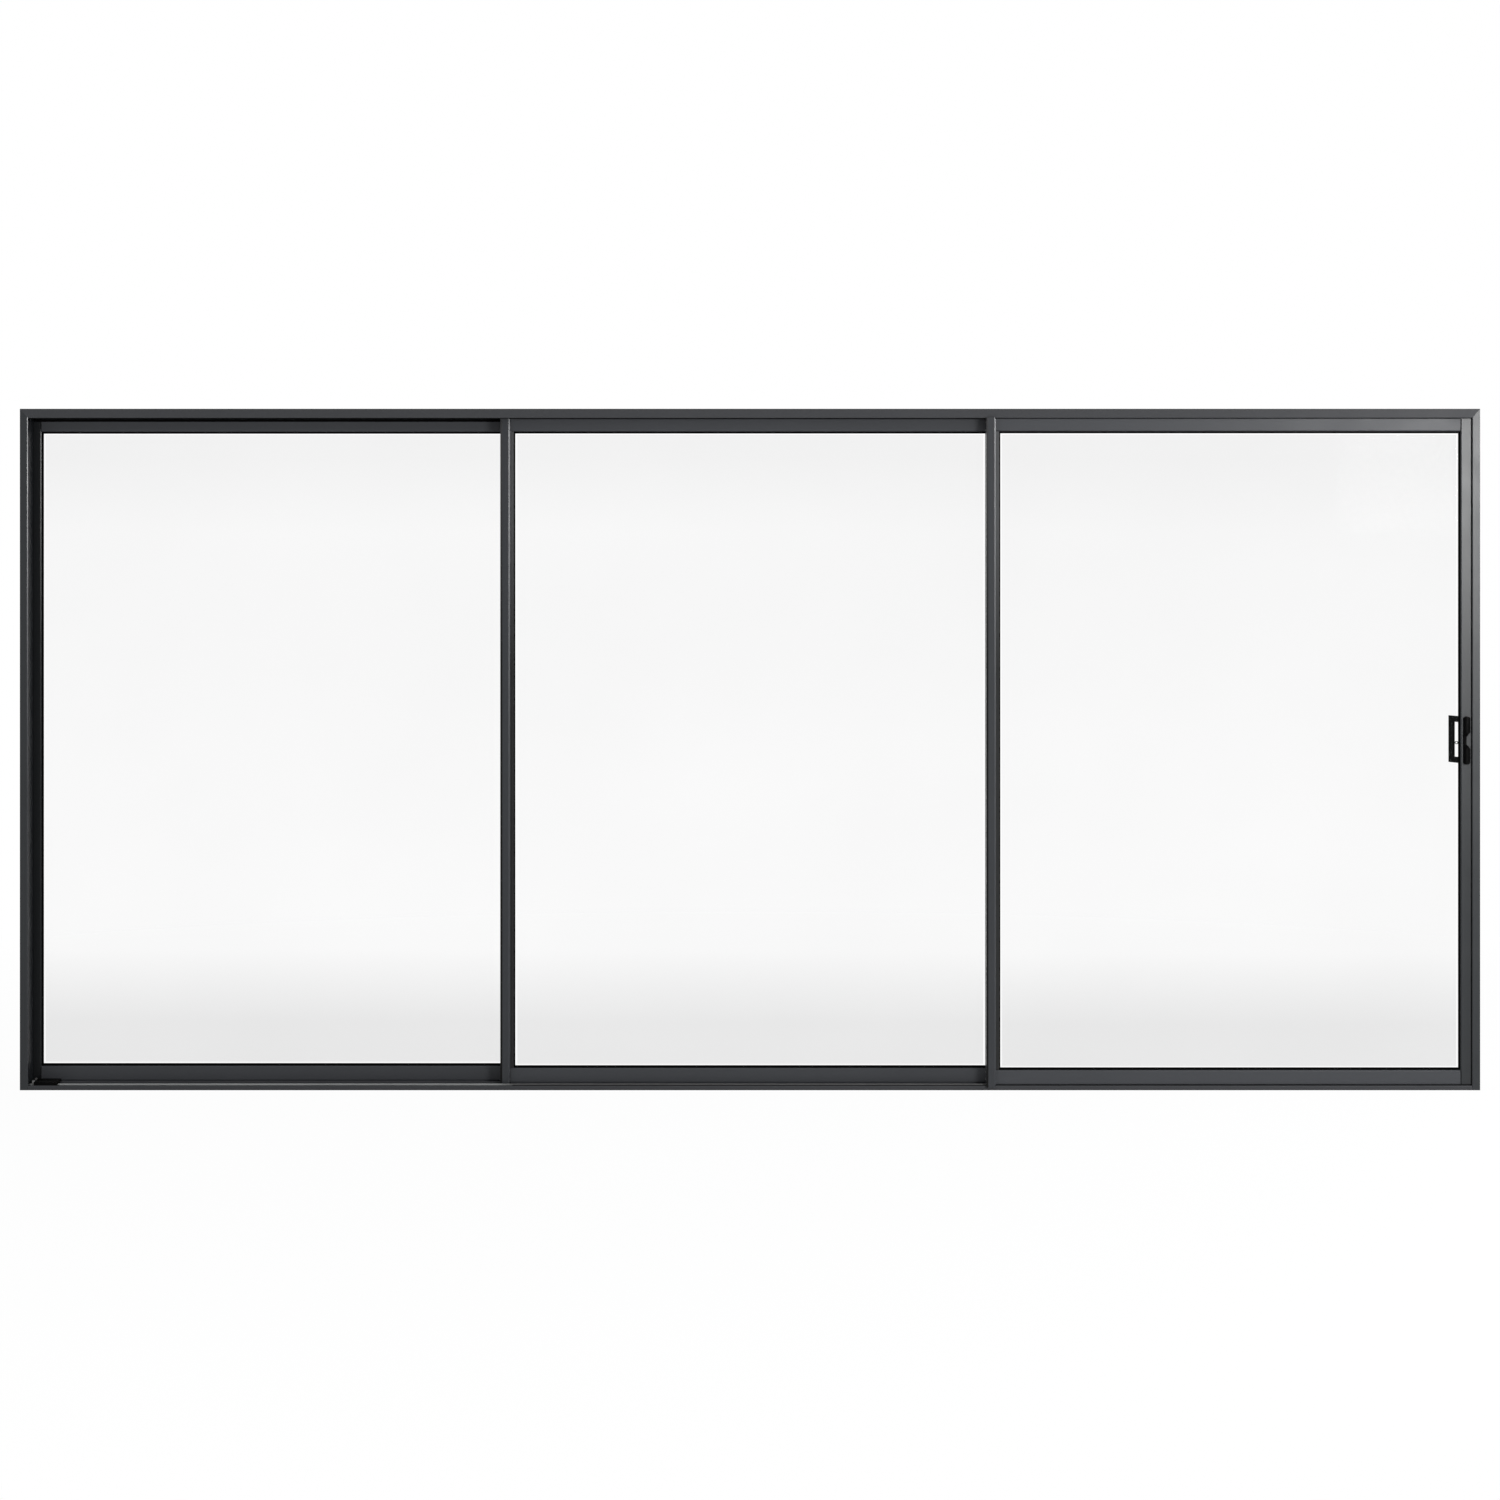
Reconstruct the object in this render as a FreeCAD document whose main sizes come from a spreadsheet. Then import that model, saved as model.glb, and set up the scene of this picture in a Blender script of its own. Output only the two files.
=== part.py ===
"""Three-track aluminium sliding patio door: one fixed leaf and two that stack in front of it.

The frame is of comb-shaped extrusions with one channel a track. The leaves are glazed sashes of hollow
extrusions, and where two leaves meet their stiles hook into each other.

+Z is up and +X is to the right of someone who faces the front, which looks towards -Y. The origin is the
middle of the sill's underside. All sizes are in millimetres.
"""

import FreeCAD, Part
import os
import re
import Sketcher

NAME = re.compile(r"\b[a-z]+(?:_[a-z]+)+\b")

doc = FreeCAD.newDocument("PatioDoor")
sheet = doc.addObject("Spreadsheet::Sheet", "Sizes")
SIZES = [
    ("frame_width", 4500, "outside width of the frame"),
    ("frame_height", 2100, "outside height of the frame"),
    ("head_lip", 28, "height of the head's lips and fins, with its web"),
    ("jamb_lip", 24.5, "width of the jambs' lips and fins, with their web"),
    ("lip_bevel", 2.5, "width of the bevel along the lips of the frame"),
    ("fin_setback", 3, "how much shorter the fins are than the lips"),
    ("sill_lip", 14.2, "height of the sill's front and back upstands"),
    ("frame_wall", 2, "wall of the frame's extrusions"),
    ("sill_floor", 3, "thickness of the sill's floor"),
    ("run_clearance", 5, "least gap between a moving leaf's face and what it runs past"),
    ("lip_clearance", 6, "gap in depth between a leaf's face and the frame's lip"),
    ("sash_depth", 30, "depth of a leaf"),
    ("sash_wall", 1.8, "wall of the leaves' extrusions"),
    ("sash_bevel", 3, "bevel of the leaves' front and back edges along the glass"),
    ("top_rail_face", 38.5, "face height of the top rails"),
    ("bottom_rail_face", 43.2, "face height of the bottom rails"),
    ("stile_face", 31.5, "face width of the plain stiles"),
    ("tongue_length", 9, "how far a leaf's legs reach past its faces"),
    ("tongue_width", 20, "width over a leaf's pair of legs"),
    ("slot_depth", 12, "depth of the glazing slot"),
    ("head_gap", 2.7, "gap in height from a leaf's face to the head's lip"),
    ("sill_gap", 3.4, "gap in height from a leaf's face to the sill's lip"),
    ("jamb_gap", 2.5, "gap in width from the lock stile's face to the jamb's lip"),
    ("jamb_tuck", 7.5, "how far the fixed leaf is pushed past the jamb's lip"),
    ("lock_leaf_width", 1495, "face width of the right leaf"),
    ("leaf_pitch", 1500, "distance between the left edges of the two sliding leaves"),
    ("leaf_overlap", 37, "how far one leaf reaches behind the next"),
    ("nose_face", 25, "flat face width of the interlock's nose"),
    ("nose_bevel", 5, "bevel of the nose along the glass side"),
    ("glazing_lip", 10, "width of the interlock stile's set-back lip beside the nose"),
    ("lip_setback", 2.5, "how far that lip is set back from the leaf's face"),
    ("nose_overlap", 6, "how far the nose's face reaches over the sill's lip"),
    ("nose_rise", 2, "how far the nose's face reaches over the head's lip"),
    ("hook_wall", 1.4, "wall of the interlock hooks"),
    ("hook_gap", 1.2, "gap between two engaged hooks"),
    ("hook_leg", 16, "length of a hook's leg"),
    ("hook_engagement", 9, "how far two engaged legs overlap"),
    ("glass_thickness", 6, "thickness of the toughened glass"),
    ("gasket_wall", 3.2, "thickness of the gasket on each face of the glass"),
    ("gasket_reveal", 4.5, "how far the gasket stands out of the frame over the glass"),
    ("glass_cover", 8, "how deep the glass sits in the glazing slot"),
    ("gasket_heel", 2, "thickness of the gasket round the edge of the glass"),
    ("track_rib", 3, "thickness of the sill's track ribs"),
    ("rib_height", 15.5, "height of the track ribs over the sill's underside"),
    ("cap_wall", 1.2, "wall of the track caps"),
    ("cap_skirt", 6, "how far a track cap reaches down its rib"),
    ("cap_end_gap", 1, "gap from a track cap's ends to the jambs"),
    ("roller_clearance", 0.3, "running clearance of a roller on its track cap"),
    ("roller_radius", 14, "radius of a roller over its flanges"),
    ("roller_groove", 1.5, "depth of a roller's groove"),
    ("groove_width", 6.6, "width of a roller's groove"),
    ("roller_width", 11, "width of a roller"),
    ("axle_radius", 3, "radius of a roller's axle"),
    ("roller_inset", 120, "distance of a roller's axle from its leaf's face edge"),
    ("packer_length", 80, "length of the fixed leaf's packers"),
    ("packer_width", 12, "width of the fixed leaf's packers"),
    ("packer_inset", 150, "distance of a packer's middle from the leaf's face edge"),
    ("bracket_gap", 10, "gap from the left jamb to the buffers' brackets"),
    ("bracket_length", 7, "length of the brackets along the track"),
    ("bracket_width", 12, "width of the brackets"),
    ("bracket_height", 27.5, "height of the brackets over the sill's underside"),
    ("buffer_length", 71.5, "length of the rubber buffers"),
    ("buffer_height", 24, "height of the rubber buffers over the sill's underside"),
    ("buffer_width", 38, "width of the rubber buffers"),
    ("buffer_radius", 3, "edge radius of the rubber buffers"),
    ("lock_height", 1077.5, "height of the lock's middle"),
    ("lock_length", 148, "length of the lock's front housing"),
    ("lock_width", 21.5, "width of the lock's front housing"),
    ("lock_edge", 2.5, "how far the housing stays inside the stile's outer edge"),
    ("lock_base", 5, "thickness of the housing's base"),
    ("rib_width", 12, "width of the housing's raised rib"),
    ("rib_depth", 9, "how far the raised rib stands over the base"),
    ("rib_margin", 2, "margin of the raised rib on the base"),
    ("notch_depth", 12, "depth of the notch in the housing"),
    ("notch_mouth", 50, "height of the notch at the housing's edge"),
    ("notch_floor", 25, "height of the notch at its bottom"),
    ("pull_length", 145, "length of the inside pull"),
    ("pull_foot", 22, "width of the inside pull's foot on the stile"),
    ("pull_edge", 3, "how far the pull's foot stays inside the stile's outer edge"),
    ("pull_reach", 62, "how far the inside pull's blade stands back from the leaf"),
    ("pull_splay", 28, "how far the blade leans towards the glass"),
    ("pull_wall", 3, "thickness of the inside pull"),
    ("slot_height", 108, "height of the inside pull's finger slot"),
    ("slot_start", 5.5, "distance from the foot to the finger slot"),
    ("slot_width", 27, "width of the finger slot, square to the leaf"),
    ("slot_corner", 8, "corner cut of the finger slot beside the foot"),
    ("ring_radius", 5, "outer radius of the latch lever's thumb ring"),
    ("ring_bore", 3, "bore radius of the thumb ring"),
    ("ring_drop", 9.5, "how far the thumb ring lies below the lock's middle"),
    ("ring_offset", 5, "how far the thumb ring's middle stands out past the stile's glass edge"),
    ("lever_wall", 4, "thickness of the latch lever"),
    ("lever_width", 5, "width of the latch lever's arm"),
    ("lever_gap", 9, "gap between the pull's foot and the latch lever's arm"),
    ("lever_edge", 12, "distance of the latch lever's post from the stile's outer edge"),
    ("keeper_length", 120, "length of the lock's keeper"),
    ("keeper_width", 16, "width of the keeper"),
    ("keeper_wall", 2, "thickness of the keeper"),
    ("keeper_slot", 60, "height of the keeper's slot"),
    ("keeper_mouth", 8, "width of the keeper's slot"),
    ("stop_length", 40, "length of the pick-up stop on the right leaf"),
    ("stop_reach", 8, "how far the pick-up stop stands back from the right leaf"),
    ("stop_height", 20, "height of the pick-up stop"),
    ("stop_rise", 10, "height of the pick-up stop over the bottom rail's lower edge"),
    ("stop_inset", 93, "distance of the pick-up stop's face from the right leaf's outer edge"),
    ("fixing_radius", 2.8, "radius of the frame's fixing holes"),
    ("jamb_fixing_inset", 150, "distance of a jamb's outer fixing holes from its ends"),
    ("head_fixing_inset", 625, "distance of the head's outer fixing holes from its ends"),
]
for row, (alias, value, meaning) in enumerate(SIZES, start=1):
    sheet.set(f"A{row}", meaning)
    sheet.set(f"B{row}", str(value))
    sheet.setAlias(f"B{row}", alias)
doc.recompute()

# Places worked out from the sizes, as expressions.
TRACK_PITCH = "(sash_depth + 2 * run_clearance + 2 * hook_wall + hook_gap)"
HALF_DEPTH = f"({TRACK_PITCH} + sash_depth / 2 + lip_clearance + frame_wall)"
TRACKS = {"front": f"-{TRACK_PITCH}", "middle": "0", "rear": TRACK_PITCH}
FOOT = "(sill_lip + sill_gap)"
CROWN = "(frame_height - head_lip - head_gap)"
NOSE_REACH = "(lip_clearance + frame_wall + run_clearance + frame_wall)"
NOSE_WIDTH = "(nose_face + nose_bevel)"
INTERLOCK_FACE = f"({NOSE_WIDTH} + glazing_lip)"
CAP_TOP = "(rib_height + cap_wall)"
RIGHT_OUT = "(frame_width / 2 - jamb_lip - jamb_gap)"
RIGHT_IN = f"({RIGHT_OUT} - lock_leaf_width)"
MIDDLE_IN = f"({RIGHT_IN} - leaf_pitch)"
MIDDLE_OUT = f"({RIGHT_IN} + leaf_overlap)"
LEFT_IN = f"({MIDDLE_IN} + leaf_overlap)"
LEFT_OUT = "(-frame_width / 2 + jamb_lip - jamb_tuck)"
SLOT_HALF = "(glass_thickness / 2 + gasket_wall)"
BEVEL_IN = "(sash_bevel + 0.414 * sash_wall)"


def tied(expression):
    """An expression on the sheet's cells, from one that names them."""
    return NAME.sub(lambda found: "Sizes." + found.group(), expression)


def amount(expression):
    """The value of an expression now, in millimetres."""
    return float(sheet.evalExpression(expression))


def new_body(name, x="0", y="0", z="0"):
    """A body whose own origin lies at x, y, z in the door's frame."""
    body = doc.addObject("PartDesign::Body", name)
    body.Label = name
    for axis, place in (("x", x), ("y", y), ("z", z)):
        body.setExpression(f"Placement.Base.{axis}", tied(place))
    return body


def origin_part(body, role):
    """One of the body's origin planes or axes."""
    return [part for part in body.Origin.OriginFeatures if part.Role == role][0]


def new_sketch(body, name, role, offset="0"):
    """An empty sketch on one of the body's origin planes, moved along its normal by the offset."""
    sketch = body.newObject("Sketcher::SketchObject", name)
    sketch.AttachmentSupport = [(origin_part(body, role), "")]
    sketch.MapMode = "FlatFace"
    if offset != "0":
        sketch.setExpression("AttachmentOffset.Base.z", tied(offset))
    return sketch


def add_outline(sketch, corners):
    """A closed outline of straight lines with each corner tied to the sheet by two distances."""
    spots = [FreeCAD.Vector(amount(u), amount(v), 0) for u, v in corners]
    count = len(spots)
    first = sketch.GeometryCount
    for i in range(count):
        sketch.addGeometry(Part.LineSegment(spots[i], spots[(i + 1) % count]), False)
    for i in range(count):
        end, start = first + i, first + (i + 1) % count
        sketch.addConstraint(Sketcher.Constraint("Coincident", end, 2, start, 1))
    for i, (u, v) in enumerate(corners):
        for kind, place, at in (("DistanceX", u, spots[i].x), ("DistanceY", v, spots[i].y)):
            number = sketch.addConstraint(Sketcher.Constraint(kind, -1, 1, first + i, 1, at))
            sketch.setExpression(f"Constraints[{number}]", tied(place))


def add_circle(sketch, u, v, radius):
    """A circle with its centre and radius tied to the sheet."""
    centre = FreeCAD.Vector(amount(u), amount(v), 0)
    turn = sketch.addGeometry(Part.Circle(centre, FreeCAD.Vector(0, 0, 1), amount(radius)), False)
    for kind, place, at in (("DistanceX", u, centre.x), ("DistanceY", v, centre.y)):
        number = sketch.addConstraint(Sketcher.Constraint(kind, -1, 1, turn, 3, at))
        sketch.setExpression(f"Constraints[{number}]", tied(place))
    number = sketch.addConstraint(Sketcher.Constraint("Radius", turn, amount(radius)))
    sketch.setExpression(f"Constraints[{number}]", tied(radius))


def pad(body, sketch, name, length, back=False, middle=False):
    """Material along the sketch's normal, the other way, or half to each side."""
    feature = body.newObject("PartDesign::Pad", name)
    feature.Profile = sketch
    feature.setExpression("Length", tied(length))
    feature.Reversed = back
    if middle:
        feature.SideType = "Symmetric"
    body.Tip = feature
    return feature


def pocket(body, sketch, name, length, back=False, middle=False):
    """A cut against the sketch's normal, along it, or half to each side."""
    feature = body.newObject("PartDesign::Pocket", name)
    feature.Profile = sketch
    feature.setExpression("Length", tied(length))
    feature.Reversed = back
    if middle:
        feature.SideType = "Symmetric"
    body.Tip = feature
    return feature


def facing(corners, u="+u", swap=False):
    """Section corners (u, v) turned to a sketch: u along +x or -x, or along +y or -y where swapped."""
    sign = "-" if u == "-u" else ""
    turned = [(f"{sign}({a})", b) for a, b in corners]
    return [(b, a) for a, b in turned] if swap else turned


def comb(lip):
    """Section of the head and jambs: a web with two outer lips and a fin between each two tracks.

    u runs from the web's outside to the tips, v through the door's depth.
    """
    fin_out = f"({TRACK_PITCH} / 2 + frame_wall / 2)"
    fin_in = f"({TRACK_PITCH} / 2 - frame_wall / 2)"
    lip_in = f"({HALF_DEPTH} - frame_wall)"
    half = [("0", HALF_DEPTH), (f"{lip} - lip_bevel", HALF_DEPTH), (lip, f"({HALF_DEPTH} - lip_bevel / 2)")]
    half += [(lip, lip_in), ("frame_wall", lip_in)]
    tip = f"({lip} - fin_setback)"
    half += [("frame_wall", fin_out), (tip, fin_out), (tip, fin_in), ("frame_wall", fin_in)]
    return half + [(u, f"-{v}") for u, v in reversed(half)]


body = new_body("head", x="-frame_width / 2", z="frame_height")
sketch = new_sketch(body, "HeadSection", "YZ_Plane")
add_outline(sketch, facing(comb("head_lip"), u="-u", swap=True))
pad(body, sketch, "HeadBar", "frame_width")
sketch = new_sketch(body, "HeadMitres", "XZ_Plane")
add_outline(sketch, [("0", "0"), ("jamb_lip", "-head_lip"), ("0", "-head_lip")])
far = "(frame_width - jamb_lip)"
add_outline(sketch, [("frame_width", "0"), ("frame_width", "-head_lip"), (far, "-head_lip")])
pocket(body, sketch, "HeadMitreCuts", f"2 * {HALF_DEPTH}", middle=True)
sketch = new_sketch(body, "HeadFixings", "XY_Plane")
for step in range(6):
    place = f"head_fixing_inset + {step} * (frame_width - 2 * head_fixing_inset) / 5"
    add_circle(sketch, place, "0", "fixing_radius")
pocket(body, sketch, "HeadFixingHoles", "frame_wall")

for side, sign in (("left", ""), ("right", "-")):
    name = f"{side}_jamb"
    body = new_body(name, x="frame_width / 2" if sign else "-frame_width / 2")
    sketch = new_sketch(body, name + "_section", "XY_Plane")
    add_outline(sketch, facing(comb("jamb_lip"), u=f"{sign or '+'}u"))
    pad(body, sketch, name + "_bar", "frame_height")
    sketch = new_sketch(body, name + "_mitre", "XZ_Plane")
    add_outline(
        sketch,
        [
            ("0", "frame_height"),
            (f"{sign}jamb_lip", "frame_height"),
            (f"{sign}jamb_lip", "frame_height - head_lip"),
        ],
    )
    pocket(body, sketch, name + "_mitre_cut", f"2 * {HALF_DEPTH}", middle=True)
    sketch = new_sketch(body, name + "_fixings", "YZ_Plane")
    for step in range(4):
        height = f"jamb_fixing_inset + {step} * (frame_height - 2 * jamb_fixing_inset) / 3"
        add_circle(sketch, "0", height, "fixing_radius")
    pocket(body, sketch, name + "_fixing_holes", "frame_wall", back=not sign)

# The sill lies between the jambs' lips. Each track is a rib with a cap clipped over it.
SILL_END = "(frame_width / 2 - jamb_lip)"
body = new_body("sill", x=f"-{SILL_END}")
sketch = new_sketch(body, "SillSection", "YZ_Plane")
corners = [(HALF_DEPTH, "0"), (HALF_DEPTH, "sill_lip - lip_bevel")]
corners += [(f"{HALF_DEPTH} - lip_bevel / 2", "sill_lip")]
corners += [(f"{HALF_DEPTH} - frame_wall", "sill_lip"), (f"{HALF_DEPTH} - frame_wall", "sill_floor")]
for track in ("rear", "middle", "front"):
    right = f"{TRACKS[track]} + track_rib / 2"
    left = f"{TRACKS[track]} - track_rib / 2"
    corners += [(right, "sill_floor"), (right, "rib_height"), (left, "rib_height"), (left, "sill_floor")]
corners += [(f"-({HALF_DEPTH} - frame_wall)", "sill_floor"), (f"-({HALF_DEPTH} - frame_wall)", "sill_lip")]
corners += [(f"-({HALF_DEPTH} - lip_bevel / 2)", "sill_lip")]
corners += [(f"-{HALF_DEPTH}", "sill_lip - lip_bevel"), (f"-{HALF_DEPTH}", "0")]
add_outline(sketch, corners)
pad(body, sketch, "SillBar", f"2 * {SILL_END}")

for track, place in TRACKS.items():
    name = f"{track}_track_cap"
    body = new_body(name, x=f"-{SILL_END} + cap_end_gap", y=place)
    sketch = new_sketch(body, name + "_section", "YZ_Plane")
    out, bevel = "(track_rib / 2 + cap_wall)", f"({CAP_TOP} - cap_wall)"
    half = [("track_rib / 2", "rib_height"), ("track_rib / 2", "rib_height - cap_skirt")]
    half += [(out, "rib_height - cap_skirt"), (out, bevel), ("track_rib / 2", CAP_TOP)]
    add_outline(sketch, half + [(f"-{u}", v) for u, v in reversed(half)])
    pad(body, sketch, name + "_bar", f"2 * ({SILL_END} - cap_end_gap)")

# The fixed leaf needs only the rear channel of the left jamb, so the other two are closed flush.
for track in ("front", "middle"):
    name = f"{track}_jamb_infill"
    body = new_body(name, x="-frame_width / 2 + frame_wall", y=TRACKS[track])
    sketch = new_sketch(body, name + "_section", "XY_Plane")
    half_out = f"({TRACK_PITCH} / 2 - frame_wall / 2)"
    half_in = f"({half_out} - frame_wall)"
    reach = "(jamb_lip - frame_wall)"
    half = [("0", half_out), (reach, half_out), (reach, f"-{half_out}"), ("0", f"-{half_out}")]
    half += [("0", f"-{half_in}"), (f"{reach} - frame_wall", f"-{half_in}")]
    half += [(f"{reach} - frame_wall", half_in), ("0", half_in)]
    add_outline(sketch, half)
    pad(body, sketch, name + "_bar", "frame_height - head_lip")

# Rubber buffers near the left jamb stop the leaves that stack there, each against a metal bracket.
# Buffers and brackets straddle their track's cap.
slot = "(track_rib / 2 + cap_wall)"
low = "rib_height - cap_skirt"
saddle = [(slot, CAP_TOP), (slot, low), ("track_rib / 2", low), ("track_rib / 2", "sill_floor")]
block = [("buffer_width / 2", "sill_floor"), ("buffer_width / 2", "buffer_height - buffer_radius")]
block += [("buffer_width / 2 - buffer_radius", "buffer_height")]
plate = [("bracket_width / 2", "sill_floor"), ("bracket_width / 2", "bracket_height")]
for track in ("front", "middle"):
    for kind, outside, start in (
        ("bracket", plate, "bracket_gap"),
        ("buffer", block, "bracket_gap + bracket_length"),
    ):
        name = f"{track}_track_{kind}"
        body = new_body(name, x=f"-{SILL_END} + {start}", y=TRACKS[track])
        sketch = new_sketch(body, name + "_section", "YZ_Plane")
        half = saddle + outside
        add_outline(sketch, half + [(f"-({u})", v) for u, v in reversed(half)])
        pad(body, sketch, name + "_block", f"{kind}_length")

body = new_body("lock_keeper", x="frame_width / 2 - frame_wall", y=TRACKS["front"], z="lock_height")
sketch = new_sketch(body, "KeeperPlate", "YZ_Plane")
wide, tall = "(keeper_width / 2)", "(keeper_length / 2)"
add_outline(sketch, [(wide, tall), (wide, f"-{tall}"), (f"-{wide}", f"-{tall}"), (f"-{wide}", tall)])
wide, tall = "(keeper_mouth / 2)", "(keeper_slot / 2)"
add_outline(sketch, [(wide, tall), (wide, f"-{tall}"), (f"-{wide}", f"-{tall}"), (f"-{wide}", tall)])
pad(body, sketch, "KeeperBar", "keeper_wall", back=True)


def sash(face):
    """Section of a rail or plain stile: a hollow bar with a glazing slot, open on its outer side.

    u runs from the edge along the glass to the outer face edge and on to the tips of the legs.
    """
    leg_in = "(tongue_width / 2 - sash_wall)"
    wall_in = "(sash_depth / 2 - sash_wall)"
    web = f"({face} - sash_wall)"
    shelf = "(slot_depth + sash_wall)"
    tip = f"({face} + tongue_length)"
    half = [("slot_depth", SLOT_HALF), ("0", SLOT_HALF), ("0", "(sash_depth / 2 - sash_bevel)")]
    half += [("sash_bevel", "sash_depth / 2"), (face, "sash_depth / 2"), (face, "tongue_width / 2")]
    half += [(tip, "tongue_width / 2"), (tip, leg_in), (web, leg_in)]
    half += [(web, wall_in), (BEVEL_IN, wall_in), ("sash_wall", f"(sash_depth / 2 - {BEVEL_IN})")]
    half += [("sash_wall", f"({SLOT_HALF} + sash_wall)"), (shelf, f"({SLOT_HALF} + sash_wall)")]
    return half + [(u, f"-({v})") for u, v in reversed(half)]


def hook(u_base, u_tip, v_face, out):
    """Corners of an interlock hook that leaves the face at u_base and turns towards u_tip."""
    leg_far = f"({v_face} {out} (run_clearance + 2 * hook_wall + hook_gap))"
    leg_near = f"({v_face} {out} (run_clearance + hook_wall + hook_gap))"
    step = "+ hook_wall" if u_tip == "up" else "- hook_wall"
    tip = "+ hook_leg" if u_tip == "up" else "- hook_leg"
    return [
        (u_base, v_face),
        (u_base, leg_far),
        (f"({u_base} {tip})", leg_far),
        (f"({u_base} {tip})", leg_near),
        (f"({u_base} {step})", leg_near),
        (f"({u_base} {step})", v_face),
    ]


def interlock():
    """Section of a sliding leaf's left stile, seen from above with the front at -v.

    Its nose stands forward of the leaf and hides the stile behind it. The hook on its back opens
    towards the glass. The glazing lip beside the nose is set back from the rails' faces.
    """
    nose = f"(-sash_depth / 2 - {NOSE_REACH})"
    back = "(sash_depth / 2)"
    base = "(leaf_overlap - 2 * hook_leg + hook_engagement)"
    corners = [("0", nose), ("nose_face", nose), (NOSE_WIDTH, f"({nose} + nose_bevel)")]
    corners += [(NOSE_WIDTH, "(-sash_depth / 2 + lip_setback)")]
    corners += [(INTERLOCK_FACE, "(-sash_depth / 2 + lip_setback)"), (INTERLOCK_FACE, f"-{SLOT_HALF}")]
    corners += [(f"{INTERLOCK_FACE} - slot_depth", f"-{SLOT_HALF}")]
    corners += [(f"{INTERLOCK_FACE} - slot_depth", SLOT_HALF), (INTERLOCK_FACE, SLOT_HALF)]
    corners += [(INTERLOCK_FACE, f"({back} - sash_bevel)"), (f"{INTERLOCK_FACE} - sash_bevel", back)]
    corners += reversed(hook(base, "up", back, "+"))
    return corners + [("0", back)]


def interlock_cavity():
    """The hollow of the interlock stile, one wall inside its outline in front of the glazing slot."""
    nose = f"(-sash_depth / 2 - {NOSE_REACH} + frame_wall)"
    side = f"({NOSE_WIDTH} - sash_wall)"
    shelf = f"({INTERLOCK_FACE} - slot_depth - sash_wall)"
    back = "(sash_depth / 2 - sash_wall)"
    corners = [("sash_wall", nose), ("nose_face", nose)]
    corners += [(side, f"({nose} + nose_bevel - sash_wall)"), (side, f"-({SLOT_HALF} + sash_wall)")]
    corners += [(shelf, f"-({SLOT_HALF} + sash_wall)"), (shelf, back)]
    return corners + [("sash_wall", back)]


def meeting():
    """Section of the stile that lies behind a nose, with its hook on the front.

    u runs from the stile's free edge towards the glass.
    """
    back, front = "(sash_depth / 2)", "(-sash_depth / 2)"
    corners = [("stile_face - sash_bevel", back), ("stile_face", f"({back} - sash_bevel)")]
    corners += [("stile_face", SLOT_HALF), ("stile_face - slot_depth", SLOT_HALF)]
    corners += [("stile_face - slot_depth", f"-{SLOT_HALF}"), ("stile_face", f"-{SLOT_HALF}")]
    corners += [("stile_face", f"({front} + sash_bevel)"), ("stile_face - sash_bevel", front)]
    corners += reversed(hook("0", "up", front, "-"))
    return corners + [("0", back)]


def meeting_cavity():
    """The hollow of the meeting stile, one wall inside its outline."""
    back, shelf = "(sash_depth / 2 - sash_wall)", "(stile_face - slot_depth - sash_wall)"
    return [("sash_wall", f"-{back}"), (shelf, f"-{back}"), (shelf, back), ("sash_wall", back)]


def rails(leaf, track, start, end):
    """The leaf's two rails, from the face edge of one stile to that of the other."""
    for which, face, edge, u in (
        ("top", "top_rail_face", f"({CROWN} - top_rail_face)", "+u"),
        ("bottom", "bottom_rail_face", f"({FOOT} + bottom_rail_face)", "-u"),
    ):
        name = f"{leaf}_{which}_rail"
        body = new_body(name, x=start, y=TRACKS[track], z=edge)
        sketch = new_sketch(body, name + "_section", "YZ_Plane")
        add_outline(sketch, facing(sash(face), u=u, swap=True))
        pad(body, sketch, name + "_bar", f"({end}) - ({start})")


def plain_stile(name, track, edge, u):
    """A stile of the rails' kind of section, with its glass edge at the given place."""
    body = new_body(name, x=edge, y=TRACKS[track], z=FOOT)
    sketch = new_sketch(body, name + "_section", "XY_Plane")
    add_outline(sketch, facing(sash("stile_face"), u=u))
    pad(body, sketch, name + "_bar", f"{CROWN} - {FOOT}")
    # The rails' legs go on across the stile's ends and close the corners of the leaf.
    near, far = "(tongue_width / 2 - sash_wall)", "(tongue_width / 2)"
    reach = "(stile_face + tongue_length)"
    leg = [("0", near), ("0", far), (reach, far), (reach, near)]
    for end, offset in (("top", f"{CROWN} - {FOOT}"), ("bottom", "0 - tongue_length")):
        sketch = new_sketch(body, f"{name}_{end}_legs", "XY_Plane", offset=offset)
        for corners in (leg, [(a, f"-{b}") for a, b in leg]):
            add_outline(sketch, facing(corners, u=u))
        pad(body, sketch, f"{name}_{end}_leg_bars", "tongue_length")


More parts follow.
